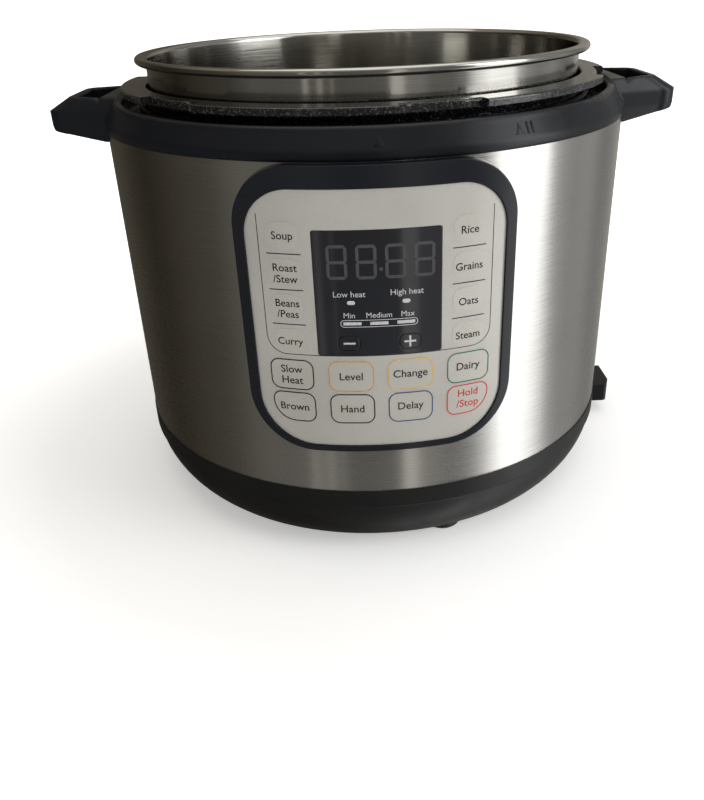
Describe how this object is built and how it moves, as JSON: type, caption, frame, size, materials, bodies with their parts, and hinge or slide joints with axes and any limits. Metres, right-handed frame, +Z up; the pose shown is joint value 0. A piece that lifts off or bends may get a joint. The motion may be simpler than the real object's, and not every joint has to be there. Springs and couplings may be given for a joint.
{
  "type": "electric pressure cooker base with lift-out pot",
  "caption": "Round electric pressure cooker body without its lid: steel housing, black top ring with side handles, lugged outer pot, lift-out inner pot and a curved key panel.",
  "frame": {"origin": "on the floor under the feet, on the axis of the pot", "axes": "+Z up along the axis of the pot, the control panel faces -Y, the mains inlet is on the +X side"},
  "size_m": [0.329, 0.3105, 0.231],
  "materials": {
    "base_plastic": "satin moulded black",
    "ring_plastic": "satin moulded black with a faint blue sheen",
    "rubber": "matt",
    "shell_steel": "vertically brushed",
    "pot_steel": "polished inside, satin rim",
    "flange_coat": "black hammered coating",
    "zinc_steel": "bright zinc",
    "cast_aluminium": "as cast",
    "overlay_silver": "satin silver",
    "key_silver": "satin silver, printed",
    "bezel_plastic": "satin black",
    "window_black": "glossy black",
    "board_green": "solder mask",
    "component_black": "matt",
    "switch_grey": "matt",
    "copper_coil": "enamelled wire",
    "cup_clear": "clear",
    "plate_silver": "satin",
    "pin_brass": "bright",
    "print_ink": "thin printed film"
  },
  "bodies": {
    "housing": {"base_tray": "base_plastic", "rubber_feet": "rubber", "base_screws": "zinc_steel", "rating_plate": "plate_silver", "inlet_housing": "base_plastic", "inlet_socket": "component_black", "inlet_pins": "pin_brass", "housing_shell": "shell_steel", "heat_shield": "zinc_steel", "outer_pot": "flange_coat", "pot_brackets": "zinc_steel", "heating_plate": "cast_aluminium", "heater_spacers": "component_black", "heater_terminals": "pin_brass", "thermal_fuse": "zinc_steel", "pressure_switch": "component_black", "sensor_spring": "zinc_steel", "sensor_bracket": "zinc_steel", "top_ring": "ring_plastic", "handle_cover_left": "base_plastic", "handle_cover_right": "base_plastic", "handle_screws": "zinc_steel", "panel_bezel": "bezel_plastic", "panel_overlay": "overlay_silver", "display_window": "window_black", "display_module": "component_black", "control_board": "board_green", "tact_switches": "switch_grey", "board_screws": "zinc_steel", "power_board": "board_green", "power_relay": "component_black", "transformer": "copper_coil", "filter_capacitor": "component_black", "collector_bracket": "base_plastic"},
    "pot": {"inner_pot": "pot_steel"},
    "cup": {"condensation_cup": "cup_clear"},
    "sensor": {"sensor_cap": "cast_aluminium"},
    "key_left_1_body": {"key_left_1": "key_silver"},
    "key_left_2_body": {"key_left_2": "key_silver"},
    "key_left_3_body": {"key_left_3": "key_silver"},
    "key_left_4_body": {"key_left_4": "key_silver"},
    "key_right_1_body": {"key_right_1": "key_silver"},
    "key_right_2_body": {"key_right_2": "key_silver"},
    "key_right_3_body": {"key_right_3": "key_silver"},
    "key_right_4_body": {"key_right_4": "key_silver"},
    "key_minus_body": {"key_minus": "window_black"},
    "key_plus_body": {"key_plus": "window_black"},
    "key_upper_1_body": {"key_upper_1": "key_silver"},
    "key_upper_2_body": {"key_upper_2": "key_silver"},
    "key_upper_3_body": {"key_upper_3": "key_silver"},
    "key_upper_4_body": {"key_upper_4": "key_silver"},
    "key_lower_1_body": {"key_lower_1": "key_silver"},
    "key_lower_2_body": {"key_lower_2": "key_silver"},
    "key_lower_3_body": {"key_lower_3": "key_silver"},
    "key_lower_4_body": {"key_lower_4": "key_silver"}
  },
  "joints": [
    {"name": "pot_lift", "type": "slide", "parent": "housing", "child": "pot", "axis": [0, 0, 1], "range_m": [0, 0.17]},
    {"name": "cup_pull", "type": "slide", "parent": "housing", "child": "cup", "axis": [0, 1, 0], "range_m": [0, 0.06]},
    {"name": "sensor_plunge", "type": "slide", "parent": "housing", "child": "sensor", "axis": [0, 0, 1], "range_m": [-0.0025, 0], "stiffness_N_per_m": 400, "springref_m": 0.004, "deforming": ["sensor_spring"]},
    {"name": "key_left_1_press", "type": "slide", "parent": "housing", "child": "key_left_1_body", "axis": [0.2782, 0.9605, 0], "range_m": [0, 0.0005], "stiffness_N_per_m": 600, "springref_m": -0.0004},
    {"name": "key_left_2_press", "type": "slide", "parent": "housing", "child": "key_left_2_body", "axis": [0.2782, 0.9605, 0], "range_m": [0, 0.0005], "stiffness_N_per_m": 600, "springref_m": -0.0004},
    {"name": "key_left_3_press", "type": "slide", "parent": "housing", "child": "key_left_3_body", "axis": [0.2782, 0.9605, 0], "range_m": [0, 0.0005], "stiffness_N_per_m": 600, "springref_m": -0.0004},
    {"name": "key_left_4_press", "type": "slide", "parent": "housing", "child": "key_left_4_body", "axis": [0.2782, 0.9605, 0], "range_m": [0, 0.0005], "stiffness_N_per_m": 600, "springref_m": -0.0004},
    {"name": "key_right_1_press", "type": "slide", "parent": "housing", "child": "key_right_1_body", "axis": [-0.2782, 0.9605, 0], "range_m": [0, 0.0005], "stiffness_N_per_m": 600, "springref_m": -0.0004},
    {"name": "key_right_2_press", "type": "slide", "parent": "housing", "child": "key_right_2_body", "axis": [-0.2782, 0.9605, 0], "range_m": [0, 0.0005], "stiffness_N_per_m": 600, "springref_m": -0.0004},
    {"name": "key_right_3_press", "type": "slide", "parent": "housing", "child": "key_right_3_body", "axis": [-0.2782, 0.9605, 0], "range_m": [0, 0.0005], "stiffness_N_per_m": 600, "springref_m": -0.0004},
    {"name": "key_right_4_press", "type": "slide", "parent": "housing", "child": "key_right_4_body", "axis": [-0.2782, 0.9605, 0], "range_m": [0, 0.0005], "stiffness_N_per_m": 600, "springref_m": -0.0004},
    {"name": "key_minus_press", "type": "slide", "parent": "housing", "child": "key_minus_body", "axis": [0.0941, 0.9956, 0], "range_m": [0, 0.0005], "stiffness_N_per_m": 600, "springref_m": -0.0004},
    {"name": "key_plus_press", "type": "slide", "parent": "housing", "child": "key_plus_body", "axis": [-0.0941, 0.9956, 0], "range_m": [0, 0.0005], "stiffness_N_per_m": 600, "springref_m": -0.0004},
    {"name": "key_upper_1_press", "type": "slide", "parent": "housing", "child": "key_upper_1_body", "axis": [0.2823, 0.9593, 0], "range_m": [0, 0.0005], "stiffness_N_per_m": 600, "springref_m": -0.0004},
    {"name": "key_upper_2_press", "type": "slide", "parent": "housing", "child": "key_upper_2_body", "axis": [0.0941, 0.9956, 0], "range_m": [0, 0.0005], "stiffness_N_per_m": 600, "springref_m": -0.0004},
    {"name": "key_upper_3_press", "type": "slide", "parent": "housing", "child": "key_upper_3_body", "axis": [-0.0941, 0.9956, 0], "range_m": [0, 0.0005], "stiffness_N_per_m": 600, "springref_m": -0.0004},
    {"name": "key_upper_4_press", "type": "slide", "parent": "housing", "child": "key_upper_4_body", "axis": [-0.2823, 0.9593, 0], "range_m": [0, 0.0005], "stiffness_N_per_m": 600, "springref_m": -0.0004},
    {"name": "key_lower_1_press", "type": "slide", "parent": "housing", "child": "key_lower_1_body", "axis": [0.2823, 0.9593, 0], "range_m": [0, 0.0005], "stiffness_N_per_m": 600, "springref_m": -0.0004},
    {"name": "key_lower_2_press", "type": "slide", "parent": "housing", "child": "key_lower_2_body", "axis": [0.0941, 0.9956, 0], "range_m": [0, 0.0005], "stiffness_N_per_m": 600, "springref_m": -0.0004},
    {"name": "key_lower_3_press", "type": "slide", "parent": "housing", "child": "key_lower_3_body", "axis": [-0.0941, 0.9956, 0], "range_m": [0, 0.0005], "stiffness_N_per_m": 600, "springref_m": -0.0004},
    {"name": "key_lower_4_press", "type": "slide", "parent": "housing", "child": "key_lower_4_body", "axis": [-0.2823, 0.9593, 0], "range_m": [0, 0.0005], "stiffness_N_per_m": 600, "springref_m": -0.0004}
  ]
}
